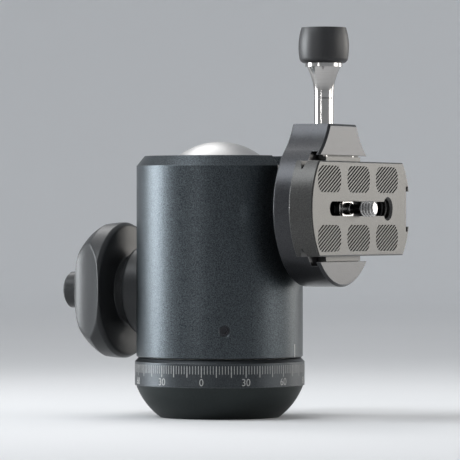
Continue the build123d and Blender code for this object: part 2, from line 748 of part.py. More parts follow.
with BuildPart() as clamp_body:
    with BuildSketch(facing_x(clamp_rear_x)):
        with BuildLine():
            Line((-clamp_top_half_w, clamp_top_h), (clamp_top_half_w, clamp_top_h))
            ThreePointArc((clamp_top_half_w, clamp_top_h), (clamp_flank_half_w, clamp_flank_h),
                          (clamp_join_w, clamp_join_h))
            ThreePointArc((clamp_join_w, clamp_join_h), (0, -clamp_r), (-clamp_join_w, clamp_join_h))
            ThreePointArc((-clamp_join_w, clamp_join_h), (-clamp_flank_half_w, clamp_flank_h),
                          (-clamp_top_half_w, clamp_top_h))
        make_face()
    extrude(amount=clamp_front_x - clamp_rear_x)
    chamfer(faces().sort_by(Axis.X)[-1].edges(), clamp_bevel)
    chamfer(faces().sort_by(Axis.X)[0].edges(), clamp_rear_edge)
    with BuildSketch(channel_plane):
        with BuildLine():
            Polyline((clamp_floor_x, channel_h), (channel_lip_x, channel_h), (channel_lip_x, upper_lip_h),
                     (2 * clamp_front_x, upper_lip_h), (2 * clamp_front_x, -lower_lip_h),
                     (channel_lip_x, -lower_lip_h), (channel_lip_x, -channel_h),
                     (clamp_floor_x, -channel_h), close=True)
        make_face()
    extrude(amount=2 * clamp_r, both=True, mode=Mode.SUBTRACT)
    with BuildSketch(facing_x(slider_rear_x - slip)):
        with Locations((0, (slider_low_h - free_gap + channel_h) / 2)):
            Rectangle(2 * (slider_half_w + slip), channel_h - slider_low_h + free_gap)
    extrude(amount=clamp_floor_x - slider_rear_x + slip, mode=Mode.SUBTRACT)
    rod(head_plane, stem_tenon_r + assembly_gap, 0, clamp_rear_x + stem_tenon_l, Mode.SUBTRACT)
    rod(head_plane, bolt_r + assembly_gap, 0, clamp_front_x, Mode.SUBTRACT)
    rod(head_plane, bolt_head_r + assembly_gap, bolt_seat_x, clamp_front_x, Mode.SUBTRACT)
    rod(spindle_plane, collar_r + slip, channel_h - jaw_travel, sleeve_plug_h, Mode.SUBTRACT)
    rod(spindle_plane, sleeve_plug_r + assembly_gap, sleeve_plug_h, 2 * clamp_top_h, Mode.SUBTRACT)
    with BuildSketch(Plane.XY.offset(ball_z + channel_h)):
        with Locations((pin_x, pin_y), (pin_x, -pin_y)):
            Circle(pin_r + assembly_gap)
    extrude(amount=pin_top_h - channel_h, mode=Mode.SUBTRACT)
    with BuildSketch(facing_x(clamp_rear_x)):
        with Locations((jaw_screw_y, -jaw_screw_h), (-jaw_screw_y, -jaw_screw_h)):
            Circle(jaw_screw_r + assembly_gap)
    extrude(amount=clamp_floor_x - clamp_rear_x, mode=Mode.SUBTRACT)
    with BuildSketch(facing_x(clamp_rear_x)):
        with Locations((jaw_screw_y, -jaw_screw_h), (-jaw_screw_y, -jaw_screw_h)):
            Circle(jaw_screw_head_r + assembly_gap)
    extrude(amount=jaw_screw_head_r - jaw_screw_r, taper=45, mode=Mode.SUBTRACT)
finish(clamp_body, "clamp_body")

# Jaws. Each has a nose that lies in the plate's groove
groove_rear_x = plate_rear_x + groove_rear_t
groove_front_x = groove_rear_x + groove_w
groove_floor_x = (groove_rear_x + groove_front_x - groove_floor_w) / 2
groove_h = plate_w / 2
flank_run = (groove_floor_x - groove_rear_x) / groove_depth
nose_root_x = groove_rear_x + 2 * slip - (jaw_base_h - groove_h) * flank_run
nose_tip_x = nose_root_x + (jaw_base_h - jaw_tip_h) * flank_run + slip


def jaw_outline(side, top_h, band_h):
    """Close the section of a jaw, above the plate with side 1 and below it with side -1."""
    Polyline((clamp_floor_x + flat_gap, side * jaw_base_h), (clamp_floor_x + flat_gap, side * top_h),
             (jaw_step_x, side * top_h), (jaw_step_x, side * band_h), (jaw_face_x, side * band_h),
             (jaw_face_x, side * jaw_nose_h), (nose_tip_x + jaw_tip_t, side * jaw_tip_h),
             (nose_tip_x, side * jaw_tip_h), (nose_root_x, side * jaw_base_h), close=True)


with BuildPart() as moving_jaw:
    with BuildSketch(channel_plane):
        with BuildLine():
            jaw_outline(1, jaw_top_h, jaw_band_h)
        make_face()
    extrude(amount=jaw_half_l, both=True)
    with BuildSketch(facing_x(slider_rear_x)):
        with Locations((0, (slider_low_h + jaw_top_h) / 2)):
            Rectangle(2 * slider_half_w, jaw_top_h - slider_low_h)
    extrude(amount=clamp_floor_x - slider_rear_x)
    with BuildSketch(facing_x(clamp_floor_x)):
        with Locations((0, (jaw_base_h + jaw_top_h) / 2)):
            Rectangle(2 * slider_half_w, jaw_top_h - jaw_base_h)
    extrude(amount=flat_gap)
    rod(spindle_plane, spindle_r + slip, 0, channel_h, Mode.SUBTRACT)
    with BuildSketch(Plane.XY.offset(ball_z + jaw_base_h)):
        with Locations((pin_x, pin_y), (pin_x, -pin_y)):
            Circle(pin_r + slip)
    extrude(amount=channel_h - jaw_base_h, mode=Mode.SUBTRACT)
finish(moving_jaw, "moving_jaw")

with BuildPart() as jaw_pins:
    with BuildSketch(Plane.XY.offset(ball_z + pin_low_h)):
        with Locations((pin_x, pin_y), (pin_x, -pin_y)):
            Circle(pin_r)
    extrude(amount=pin_top_h - pin_low_h)
finish(jaw_pins, "jaw_pins")

jaw_screw_end_x = clamp_floor_x + jaw_screw_reach

with BuildPart() as fixed_jaw:
    with BuildSketch(channel_plane):
        with BuildLine():
            jaw_outline(-1, channel_h - assembly_gap, fixed_band_h)
        make_face()
    extrude(amount=jaw_half_l, both=True)
    with BuildSketch(facing_x(clamp_floor_x)):
        with Locations((jaw_screw_y, -jaw_screw_h), (-jaw_screw_y, -jaw_screw_h)):
            Circle(jaw_screw_r + assembly_gap)
    extrude(amount=jaw_screw_reach, mode=Mode.SUBTRACT)
finish(fixed_jaw, "fixed_jaw")

with BuildPart() as jaw_screws:
    with BuildSketch(facing_x(clamp_rear_x)):
        with Locations((jaw_screw_y, -jaw_screw_h), (-jaw_screw_y, -jaw_screw_h)):
            Circle(jaw_screw_r)
    extrude(amount=jaw_screw_end_x - clamp_rear_x)
    with BuildSketch(facing_x(clamp_rear_x)):
        with Locations((jaw_screw_y, -jaw_screw_h), (-jaw_screw_y, -jaw_screw_h)):
            Circle(jaw_screw_head_r)
    extrude(amount=jaw_screw_head_r - jaw_screw_r, taper=45)
finish(jaw_screws, "jaw_screws")

# Clamp knob with its spindle
with BuildPart() as jaw_spindle:
    rod(spindle_plane, spindle_r, spindle_low_h, spindle_top_h)
    rod(spindle_plane, collar_r, collar_low_h, collar_top_h)
finish(jaw_spindle, "jaw_spindle")

with BuildPart() as stem_sleeve:
    turn(spindle_plane, [(spindle_r + slip, sleeve_plug_h), (sleeve_plug_r, sleeve_plug_h),
                         (sleeve_plug_r, clamp_top_h), (sleeve_r, clamp_top_h),
                         (sleeve_r, sleeve_top_h), (spindle_r + slip, sleeve_top_h)])
finish(stem_sleeve, "stem_sleeve")

with BuildPart() as knob_flare:
    flare_bore_r = spindle_r + assembly_gap
    with BuildSketch(spindle_plane):
        with BuildLine():
            Line((flare_bore_r, flare_low_h), (sleeve_r, flare_low_h))
            ThreePointArc((sleeve_r, flare_low_h), (flare_mid_r, flare_mid_h), (flare_end_r, flare_rim_h))
            Polyline((flare_end_r, flare_rim_h), (flare_rim_r, flare_rim_h), (flare_rim_r, flare_top_h),
                     (flare_core_r, flare_top_h),
                     (flare_core_r, flare_core_h), (flare_bore_r, flare_core_h),
                     (flare_bore_r, flare_low_h))
        make_face()
    revolve(axis=Axis(spindle_plane.origin, spindle_plane.y_dir))
finish(knob_flare, "knob_flare")

cap_core_r = flare_core_r + assembly_gap
cap_core_h = flare_core_h + assembly_gap

with BuildPart() as knob_cap:
    with BuildSketch(spindle_plane) as cap_outline:
        with BuildLine():
            Line((cap_core_r, flare_top_h), (cap_low_r, flare_top_h))
            ThreePointArc((cap_low_r, flare_top_h), (cap_r, cap_mid_h), (cap_top_r, cap_top_h))
            ThreePointArc((cap_top_r, cap_top_h), dome_mid(cap_top_r, cap_top_h, cap_dome),
                          (0, cap_top_h + cap_dome))
            Polyline((0, cap_top_h + cap_dome), (0, cap_core_h), (cap_core_r, cap_core_h),
                     (cap_core_r, flare_top_h))
        make_face()
        rim = cap_outline.vertices().filter_by(lambda corner: corner.X > cap_core_r + assembly_gap)
        fillet(rim.group_by(Axis.Y)[0], cap_low_fillet)
        fillet(rim.group_by(Axis.Y)[-1], cap_top_fillet)
    revolve(axis=Axis(spindle_plane.origin, spindle_plane.y_dir))
finish(knob_cap, "knob_cap")

# Camera plate
plate_half = plate_l / 2
plate_end_c = plate_half - plate_end_r
screw_y = plate_y

with BuildPart() as plate:
    with BuildSketch(facing_x(plate_rear_x, plate_y)):
        with Locations((plate_shift, 0)):
            Rectangle(plate_l, plate_w)
            SlotCenterToCenter(2 * plate_end_c, 2 * plate_end_r, mode=Mode.INTERSECT)
    extrude(amount=plate_t)
    chamfer(faces().sort_by(Axis.X)[-1].edges(), plate_edge)
    for side in (1, -1):
        with BuildSketch(channel_plane):
            with BuildLine():
                Polyline((groove_rear_x, side * groove_h), (groove_rear_x, side * 2 * groove_h),
                         (groove_front_x, side * 2 * groove_h), (groove_front_x, side * groove_h),
                         (groove_floor_x + groove_floor_w, side * (groove_h - groove_depth)),
                         (groove_floor_x, side * (groove_h - groove_depth)), close=True)
            make_face()
    extrude(amount=plate_l, both=True, mode=Mode.SUBTRACT)
    with BuildSketch(facing_x(plate_rear_x, plate_y)):
        with BuildLine():
            Line((-slot_left + slot_w / 2, slot_w / 2), (hole_y, slot_w / 2))
            Line((hole_y, slot_w / 2), (hole_y, -slot_w / 2))
            Line((hole_y, -slot_w / 2), (-slot_left + slot_w / 2, -slot_w / 2))
            ThreePointArc((-slot_left + slot_w / 2, -slot_w / 2), (-slot_left, 0),
                          (-slot_left + slot_w / 2, slot_w / 2))
        make_face()
        with Locations((hole_y, 0)):
            Circle(hole_r)
    extrude(amount=plate_t, mode=Mode.SUBTRACT)
    with BuildSketch(facing_x(plate_front_x, plate_y)):
        with Locations((hole_y, 0)):
            Circle(hole_mouth_r)
    extrude(amount=-hole_mouth_depth, taper=45, mode=Mode.SUBTRACT)
    with BuildSketch(facing_x(plate_rear_x, plate_y)):
        with Locations(((counter_right - counter_left) / 2, 0)):
            SlotOverall(counter_right + counter_left, counter_w)
    extrude(amount=counter_depth, mode=Mode.SUBTRACT)
    with BuildSketch(facing_x(plate_rear_x, plate_y)):
        with Locations((plate_half + plate_shift, 0)):
            Rectangle(2 * recess_mouth_depth, recess_mouth_w)
        with Locations((plate_half + plate_shift - (recess_depth + recess_mouth_depth) / 2, 0)):
            Rectangle(recess_depth - recess_mouth_depth, recess_w)
    extrude(amount=plate_t, mode=Mode.SUBTRACT)
    with BuildSketch(facing_x(plate_rear_x, plate_y)):
        with Locations((-stop_left, 0), (stop_right, 0)):
            Circle(stop_shank_r + assembly_gap)
    extrude(amount=stop_shank_l, mode=Mode.SUBTRACT)
    with BuildSketch(facing_x(plate_front_x, plate_y)):
        with Locations((grip_shift, 0)):
            with GridLocations(grip_pitch_y, grip_pitch_h, 3, 2):
                RectangleRounded(grip_l, grip_h, grip_r)
        with Locations(Location((grip_shift, 0), grip_groove_angle)):
            with GridLocations(0, grip_groove_pitch, 1, int(plate_l / grip_groove_pitch)):
                Rectangle(2 * plate_l, grip_groove_w, mode=Mode.INTERSECT)
    extrude(amount=-grip_depth, mode=Mode.SUBTRACT)
finish(plate, "plate")

with BuildPart() as stop_screws:
    with BuildSketch(facing_x(plate_rear_x, plate_y)):
        with Locations((-stop_left, 0), (stop_right, 0)):
            Circle(stop_shank_r)
    extrude(amount=stop_shank_l)
    with BuildSketch(facing_x(plate_rear_x, plate_y)):
        with Locations((-stop_left, 0), (stop_right, 0)):
            Circle(stop_r)
    extrude(amount=-stop_proud)
finish(stop_screws, "stop_screws")

# Camera screw, held in the plate's slot by a washer
counter_floor_x = plate_rear_x + counter_depth
washer_x = counter_floor_x - slip
head_x = washer_x - screw_washer_t
screw_plane = Plane(origin=(0, screw_y, ball_z), x_dir=(0, 1, 0), z_dir=(0, 0, -1))

with BuildPart() as screw_washer:
    tube(screw_plane, screw_shank_r + slip, screw_washer_r, head_x, washer_x)
finish(screw_washer, "screw_washer")

with BuildPart() as camera_screw:
    rod(screw_plane, screw_head_r, head_x - screw_head_t, head_x)
    rod(screw_plane, screw_shank_r, head_x, screw_shank_x)
    rod(screw_plane, screw_neck_r, screw_shank_x, screw_thread_x)
    rod(screw_plane, screw_r, screw_thread_x, screw_tip_x)
    with BuildSketch(facing_x(head_x - screw_head_t, screw_y)):
        Rectangle(3 * screw_head_r, screw_slot_w)
    extrude(amount=screw_slot_depth, mode=Mode.SUBTRACT)
finish(camera_screw, "camera_screw")
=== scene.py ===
import json
import math

import bmesh
import bpy
from mathutils import Matrix, Vector


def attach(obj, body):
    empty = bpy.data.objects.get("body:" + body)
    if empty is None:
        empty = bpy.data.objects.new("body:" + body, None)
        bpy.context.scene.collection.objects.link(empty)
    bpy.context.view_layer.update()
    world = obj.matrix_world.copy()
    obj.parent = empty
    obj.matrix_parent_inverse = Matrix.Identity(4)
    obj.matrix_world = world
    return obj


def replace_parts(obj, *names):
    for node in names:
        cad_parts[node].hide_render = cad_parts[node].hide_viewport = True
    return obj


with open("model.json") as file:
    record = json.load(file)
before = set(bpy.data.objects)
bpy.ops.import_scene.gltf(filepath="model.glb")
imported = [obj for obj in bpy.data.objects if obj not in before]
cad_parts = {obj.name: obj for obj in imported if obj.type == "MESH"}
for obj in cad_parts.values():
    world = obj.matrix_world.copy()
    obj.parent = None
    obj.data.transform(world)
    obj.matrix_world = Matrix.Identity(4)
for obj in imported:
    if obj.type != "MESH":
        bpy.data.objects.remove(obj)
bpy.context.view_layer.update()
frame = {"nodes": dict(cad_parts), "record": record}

MM = 0.001

# Camera, level and far away, as the photograph was taken, in metres
view_azimuth = math.radians(26.5)
to_camera = Vector((math.sin(view_azimuth), -math.cos(view_azimuth), 0.0))
to_right = Vector((math.cos(view_azimuth), math.sin(view_azimuth), 0.0))
up = Vector((0.0, 0.0, 1.0))
camera_distance = 1.64
camera_height = 0.0809
camera_offset = 0.00421
picture_width = 0.18814
sensor_width = 36.0
horizon_shift = -11 / 460
lamp_aim_height = 0.08

# Places on the object, in millimetres, as the CAD part has them
knob_z = 51.5
pan_z = 38.5
ball_z = 85.0
ring_r = 34.7
housing_r = 34.0
plate_y = 4.0
hole_y = 30.0
plate_rear_x = 51.85
plate_front_x = 61.85

# The degree scale: its nought in degrees from +X, and how its marks stand on the wall
scale_zero = -75.6
mark_proud = 0.03
mark_sunk = 0.05

# Sockets of the colour mix node, whose names are shared by several of its sockets
mix_first = 6
mix_second = 7
mix_result = 2


def look_at(target, source):
    """The turn that points a lamp or camera at a target, with Z up."""
    return (target - source).to_track_quat("-Z", "Y").to_matrix().to_4x4()


def add_camera():
    data = bpy.data.cameras.new("camera")
    camera = bpy.data.objects.new("camera", data)
    bpy.context.scene.collection.objects.link(camera)
    place = to_camera * camera_distance + to_right * camera_offset + up * camera_height
    camera.matrix_world = Matrix.Translation(place) @ look_at(place - to_camera, place)
    data.sensor_width = sensor_width
    data.lens = sensor_width * camera_distance / picture_width
    data.shift_y = horizon_shift
    data.clip_start = 0.05
    data.clip_end = 50.0
    bpy.context.scene.camera = camera


def add_lamp(name, azimuth, height, distance, size_x, size_y, power, spread, colour=(1.0, 1.0, 1.0)):
    """A soft box at an angle to the right of the camera's line, aimed at the object's middle."""
    data = bpy.data.lights.new(name, "AREA")
    data.shape = "RECTANGLE"
    data.size = size_x
    data.size_y = size_y
    data.energy = power
    data.spread = math.radians(spread)
    data.color = colour
    lamp = bpy.data.objects.new(name, data)
    bpy.context.scene.collection.objects.link(lamp)
    angle = math.radians(azimuth)
    place = (to_camera * math.cos(angle) + to_right * math.sin(angle)) * distance + up * height
    lamp.matrix_world = Matrix.Translation(place) @ look_at(up * lamp_aim_height, place)
    lamp.visible_camera = False


def add_lamps():
    """Boxes where the photograph's highlights are. Angles in degrees, sizes in metres, power in watts."""
    add_lamp("left_box", azimuth=-98.0, height=0.16, distance=1.1, size_x=0.50, size_y=0.9,
             power=3.9, spread=60.0, colour=(0.93, 0.97, 1.0))
    add_lamp("front_strip", azimuth=-32.0, height=0.16, distance=1.3, size_x=0.05, size_y=0.7,
             power=0.18, spread=60.0)
    add_lamp("right_box", azimuth=80.0, height=0.16, distance=1.2, size_x=0.60, size_y=0.9,
             power=1.0, spread=60.0, colour=(1.0, 0.97, 0.93))
    add_lamp("rear_box", azimuth=120.0, height=0.16, distance=1.2, size_x=0.55, size_y=0.9,
             power=1.0, spread=60.0, colour=(1.0, 0.96, 0.90))
    add_lamp("slope_box", azimuth=-60.0, height=1.0, distance=0.75, size_x=0.5, size_y=0.5,
             power=1.2, spread=80.0, colour=(0.94, 0.97, 1.0))
    add_lamp("back_box", azimuth=-162.0, height=1.0, distance=0.84, size_x=0.5, size_y=0.5,
             power=0.38, spread=60.0)
    add_lamp("overhead_box", azimuth=-150.0, height=1.5, distance=0.55, size_x=1.2, size_y=1.0,
             power=5.0, spread=170.0)


def add_world():
    world = bpy.data.worlds.new("studio_air")
    world.use_nodes = True
    background = world.node_tree.nodes["Background"]
    background.inputs["Color"].default_value = (0.85, 0.88, 0.92, 1.0)
    background.inputs["Strength"].default_value = 0.62
    bpy.context.scene.world = world


def add_studio():
    """A round pale floor that bends up into a pale wall, the same from every side."""
    inner = 0.3
    radius = 2.3
    bend = 0.6
    tall = 2.6
    bend_steps = 10
    sides = 96
    path = [(inner, 0.0), (radius, 0.0)]
    for step in range(1, bend_steps + 1):
        angle = math.radians(90 * step / bend_steps)
        path.append((radius + bend * math.sin(angle), bend - bend * math.cos(angle)))
    path.append((radius + bend, tall))
    mesh = bpy.data.meshes.new("studio_bowl")
    verts = [Vector((0.0, 0.0, 0.0))]
    faces = []
    for reach, height in path:
        for side in range(sides):
            angle = 2 * math.pi * side / sides
            verts.append(Vector((reach * math.cos(angle), reach * math.sin(angle), height)))
    for side in range(sides):
        after = (side + 1) % sides
        faces.append((0, 1 + side, 1 + after))
        for row in range(len(path) - 1):
            first = 1 + row * sides
            second = first + sides
            faces.append((first + side, second + side, second + after, first + after))
    mesh.from_pydata(verts, [], faces)
    for face in mesh.polygons:
        face.use_smooth = True
    bowl = bpy.data.objects.new("studio_bowl", mesh)
    bpy.context.scene.collection.objects.link(bowl)
    mesh.materials.append(stage_material())


def new_material(name):
    material = bpy.data.materials.new(name)
    material.use_nodes = True
    tree = material.node_tree
    shader = tree.nodes["Principled BSDF"]
    return material, tree, shader


def noise(tree, scale, detail=2.0, rough=0.5, stretch=None):
    """A noise texture in the object's own metres, stretched along an axis where asked."""
    coord = tree.nodes.new("ShaderNodeTexCoord")
    vector = coord.outputs["Object"]
    if stretch:
        mapping = tree.nodes.new("ShaderNodeMapping")
        mapping.inputs["Scale"].default_value = stretch
        tree.links.new(vector, mapping.inputs["Vector"])
        vector = mapping.outputs["Vector"]
    node = tree.nodes.new("ShaderNodeTexNoise")
    node.inputs["Scale"].default_value = scale
    node.inputs["Detail"].default_value = detail
    node.inputs["Roughness"].default_value = rough
    tree.links.new(vector, node.inputs["Vector"])
    return node.outputs["Fac"]


def ramp(tree, fac, low, high, start=0.3, end=0.7):
    """A colour that changes from low to high between two values of fac."""
    node = tree.nodes.new("ShaderNodeValToRGB")
    node.color_ramp.elements[0].position = start
    node.color_ramp.elements[1].position = end
    node.color_ramp.elements[0].color = (*low, 1.0)
    node.color_ramp.elements[1].color = (*high, 1.0)
    tree.links.new(fac, node.inputs["Fac"])
    return node.outputs["Color"]


def span(tree, value, low, high, start=0.0, end=1.0):
    """A number that changes from low to high while value goes from start to end."""
    node = tree.nodes.new("ShaderNodeMapRange")
    node.inputs["From Min"].default_value = start
    node.inputs["From Max"].default_value = end
    node.inputs["To Min"].default_value = low
    node.inputs["To Max"].default_value = high
    tree.links.new(value, node.inputs["Value"])
    return node.outputs["Result"]


def blend_colour(tree, fac, first, second):
    """The first colour where fac is nought and the second where it is one."""
    node = tree.nodes.new("ShaderNodeMix")
    node.data_type = "RGBA"
    tree.links.new(fac, node.inputs["Factor"])
    for value, socket in ((first, node.inputs[mix_first]), (second, node.inputs[mix_second])):
        if isinstance(value, tuple):
            socket.default_value = (*value, 1.0)
        else:
            tree.links.new(value, socket)
    return node.outputs[mix_result]


def soft_edges(tree, radius):
    """A normal that rounds the solid's sharp edges."""
    node = tree.nodes.new("ShaderNodeBevel")
    node.samples = 6
    node.inputs["Radius"].default_value = radius
    return node.outputs["Normal"]


def edge_mask(tree, radius):
    """One along worn edges, nought on flat faces."""
    geometry = tree.nodes.new("ShaderNodeNewGeometry")
    dot = tree.nodes.new("ShaderNodeVectorMath")
    dot.operation = "DOT_PRODUCT"
    tree.links.new(soft_edges(tree, radius), dot.inputs[0])
    tree.links.new(geometry.outputs["Normal"], dot.inputs[1])
    return span(tree, dot.outputs["Value"], 0.0, 1.0, start=0.995, end=0.90)


def hollow_mask(tree, distance):
    """Painted shade: one deep in grooves, where shade falls, nought on open faces."""
    hollow = tree.nodes.new("ShaderNodeAmbientOcclusion")
    hollow.samples = 6
    hollow.only_local = True
    hollow.inputs["Distance"].default_value = distance
    return span(tree, hollow.outputs["AO"], 0.0, 1.0, start=0.9, end=0.35)


def bump(tree, height, strength, distance, normal):
    """Fine relief on top of the normal that is handed in."""
    node = tree.nodes.new("ShaderNodeBump")
    node.inputs["Strength"].default_value = strength
    node.inputs["Distance"].default_value = distance
    tree.links.new(height, node.inputs["Height"])
    tree.links.new(normal, node.inputs["Normal"])
    return node.outputs["Normal"]


def stage_material():
    """Pale paper, painted darker near the object, where the lamps' light pools, and paler on the wall,
    where less of it reaches.
    """
    material, tree, shader = new_material("studio_paper")
    coord = tree.nodes.new("ShaderNodeTexCoord")
    reach = tree.nodes.new("ShaderNodeVectorMath")
    reach.operation = "LENGTH"
    tree.links.new(coord.outputs["Object"], reach.inputs[0])
    # Painted shade on the floor near the object and painted light on the wall, which even out the lamps.
    far = span(tree, reach.outputs["Value"], 0.0, 1.0, start=0.5, end=2.4)
    floor_shade_colour = ramp(tree, noise(tree, 3.0), (0.60, 0.605, 0.61), (0.63, 0.63, 0.635))
    wall_light_colour = (0.88, 0.885, 0.89)
    tree.links.new(blend_colour(tree, far, floor_shade_colour, wall_light_colour), shader.inputs["Base Color"])
    shader.inputs["Roughness"].default_value = 0.9
    return material


def anodised(name, dark, light, rough, grain, edge=0.25, wear=(0.30, 0.31, 0.32), shade=0.0):
    """Blasted and anodised metal: a fine sparkle, paler edges and, where asked, painted shade that darkens
    the grooves.
    """
    material, tree, shader = new_material(name)
    drift = noise(tree, 60.0, detail=3.0)
    speck = noise(tree, grain, detail=1.0, rough=0.6)
    scuff = noise(tree, 900.0, detail=3.0)
    body = ramp(tree, speck, dark, light, start=0.32, end=0.70)
    toned = blend_colour(tree, span(tree, drift, 0.0, 0.25), body, dark)
    worn = tree.nodes.new("ShaderNodeMath")
    worn.operation = "MULTIPLY"
    tree.links.new(edge_mask(tree, edge * MM), worn.inputs[0])
    tree.links.new(span(tree, scuff, 0.0, 0.9), worn.inputs[1])
    colour = blend_colour(tree, worn.outputs["Value"], toned, wear)
    # Painted shade: where asked, the grooves are darkened towards near black.
    if shade:
        colour = blend_colour(tree, hollow_mask(tree, shade * MM), colour, (0.008, 0.008, 0.008))
    relief = bump(tree, speck, strength=0.35, distance=0.05 * MM, normal=soft_edges(tree, edge * MM))
    tree.links.new(colour, shader.inputs["Base Color"])
    tree.links.new(span(tree, speck, rough - 0.07, rough + 0.09), shader.inputs["Roughness"])
    tree.links.new(relief, shader.inputs["Normal"])
    shader.inputs["Metallic"].default_value = 0.85
    return material


def polished(name, colour, rough, stretch=(1.0, 1.0, 1.0), scale=400.0, depth=0.01):
    """Bright metal with the faint marks of turning or polishing."""
    material, tree, shader = new_material(name)
    marks = noise(tree, scale, detail=4.0, rough=0.6, stretch=stretch)
    darker = tuple(value * 0.86 for value in colour)
    relief = bump(tree, marks, strength=0.2, distance=depth * MM, normal=soft_edges(tree, 0.12 * MM))
    tree.links.new(ramp(tree, marks, darker, colour), shader.inputs["Base Color"])
    tree.links.new(span(tree, marks, rough * 0.7, rough * 1.4), shader.inputs["Roughness"])
    tree.links.new(relief, shader.inputs["Normal"])
    shader.inputs["Metallic"].default_value = 1.0
    return material


def moulded(name, dark, light, rough, grain, depth, specular=0.5):
    """Moulded plastic or rubber with a fine matt grain."""
    material, tree, shader = new_material(name)
    speck = noise(tree, grain, detail=2.0, rough=0.6)
    drift = noise(tree, 45.0, detail=2.0)
    body = ramp(tree, speck, dark, light)
    rubbed = blend_colour(tree, span(tree, drift, 0.0, 0.3), body, light)
    relief = bump(tree, speck, strength=0.5, distance=depth * MM, normal=soft_edges(tree, 0.3 * MM))
    tree.links.new(rubbed, shader.inputs["Base Color"])
    tree.links.new(span(tree, drift, rough - 0.06, rough + 0.08), shader.inputs["Roughness"])
    tree.links.new(relief, shader.inputs["Normal"])
    shader.inputs["Metallic"].default_value = 0.0
    shader.inputs["Specular IOR Level"].default_value = specular
    return material


def printed(name, dark, light):
    """Flat paint of a mark or number."""
    material, tree, shader = new_material(name)
    tree.links.new(ramp(tree, noise(tree, 2500.0), dark, light), shader.inputs["Base Color"])
    shader.inputs["Roughness"].default_value = 0.6
    return material


# Colours are linear. Edge, shade and depth are in millimetres, grain and scale in noise cells per metre.
# All but the last two are the record's slots.
materials = {
    "housing_metal": anodised("blasted_blue_grey", dark=(0.020, 0.025, 0.029),
                              light=(0.084, 0.096, 0.104), rough=0.39, grain=2600.0),
    "base_metal": anodised("smooth_dark_grey", dark=(0.024, 0.029, 0.029),
                           light=(0.040, 0.046, 0.046), rough=0.50, grain=3500.0),
    "ring_metal": anodised("dark_ring", dark=(0.024, 0.028, 0.031),
                           light=(0.062, 0.068, 0.073), rough=0.40, grain=2800.0),
    "ball_metal": polished("satin_ball", (0.44, 0.435, 0.43), rough=0.42, scale=1500.0, depth=0.02),
    "clamp_metal": anodised("satin_clamp", dark=(0.028, 0.029, 0.032),
                            light=(0.056, 0.057, 0.060), rough=0.30, grain=3200.0),
    # The plate's grip grooves get painted shade.
    "plate_metal": anodised("sandblasted_plate", dark=(0.040, 0.040, 0.039),
                            light=(0.076, 0.075, 0.072), rough=0.34, grain=2600.0,
                            edge=0.2, wear=(0.30, 0.30, 0.29), shade=0.8),
    "knob_plastic": moulded("soft_touch", dark=(0.014, 0.015, 0.016), light=(0.024, 0.025, 0.026),
                            rough=0.33, grain=2500.0, depth=0.03, specular=0.26),
    "rubber": moulded("cap_rubber", dark=(0.012, 0.012, 0.013), light=(0.020, 0.020, 0.021),
                      rough=0.44, grain=3000.0, depth=0.03, specular=0.40),
    "chrome": polished("chrome", (0.47, 0.455, 0.44), rough=0.12, stretch=(1.0, 1.0, 40.0),
                       scale=60.0, depth=0.0015),
    "steel": polished("bright_steel", (0.52, 0.51, 0.50), rough=0.20),
    "black_steel": polished("black_oxide", (0.05, 0.05, 0.055), rough=0.40),
    "brass": polished("brass", (0.70, 0.54, 0.28), rough=0.30),
    "nylon": moulded("nylon", dark=(0.60, 0.59, 0.56), light=(0.70, 0.69, 0.66),
                     rough=0.55, grain=1200.0, depth=0.02),
    "marks": printed("grey_marks", (0.24, 0.24, 0.235), (0.36, 0.36, 0.35)),
    "index": printed("white_mark", (0.58, 0.58, 0.57), (0.72, 0.72, 0.71)),
}


def dress_nodes():
    """Give each CAD node the material of its slot."""
    slots = {part["node"]: part["material_slot"] for part in frame["record"]["subparts"]}
    for name, node in frame["nodes"].items():
        node.data.materials.clear()
        node.data.materials.append(materials[slots[name]])


def place_piece(name, mesh, slot, body, finish=None):
    """Put a mesh in the scene on its body, with its slot's material or another finish."""
    piece = bpy.data.objects.new(name, mesh)
    bpy.context.scene.collection.objects.link(piece)
    mesh.materials.append(materials[finish or slot])
    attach(piece, body)
    return piece


def add_piece(name, verts, faces, slot, body, finish=None, smooth=True):
    """Make a mesh from points in millimetres and put it in the scene."""
    mesh = bpy.data.meshes.new(name)
    mesh.from_pydata([Vector(vert) * MM for vert in verts], [], faces)
    mesh.validate()
    for face in mesh.polygons:
        face.use_smooth = smooth
    return place_piece(name, mesh, slot, body, finish)


def rounded_path(points, radius, steps=4):
    """A polyline of (radius, distance along the axis) whose corners are rounded."""
    most = 0.45
    path = [Vector(points[0])]
    for before, corner, after in zip(points, points[1:], points[2:]):
        before, corner, after = Vector(before), Vector(corner), Vector(after)
        cut_in = min(radius, (corner - before).length * most)
        cut_out = min(radius, (after - corner).length * most)
        start = corner + (before - corner).normalized() * cut_in
        end = corner + (after - corner).normalized() * cut_out
        for step in range(steps + 1):
            part = step / steps
            path.append(start * (1 - part) ** 2 + corner * 2 * part * (1 - part) + end * part ** 2)
    path.append(Vector(points[-1]))
    return path


def straight(radius, start, length, steps):
    """Evenly spaced points along a round wall."""
    return [(radius, start + length * step / steps) for step in range(steps + 1)]


def on_arc(start, mid, end, count):
    """The points between the ends of a smooth curve through three points."""
    start, mid, end = Vector(start), Vector(mid), Vector(end)
    control = mid * 2 - (start + end) / 2
    found = []
    for step in range(1, count):
        part = step / count
        found.append(tuple(start * (1 - part) ** 2 + control * 2 * part * (1 - part) + end * part ** 2))
    return found


def around(origin, axis, across):
    """A function that gives the point at a distance along an axis, a turn round it and a radius."""
    origin = Vector(origin)
    axis = Vector(axis)
    across = Vector(across)
    square = axis.cross(across)

    def point(along, turn, radius):
        return origin + axis * along + (across * math.cos(turn) + square * math.sin(turn)) * radius
    return point


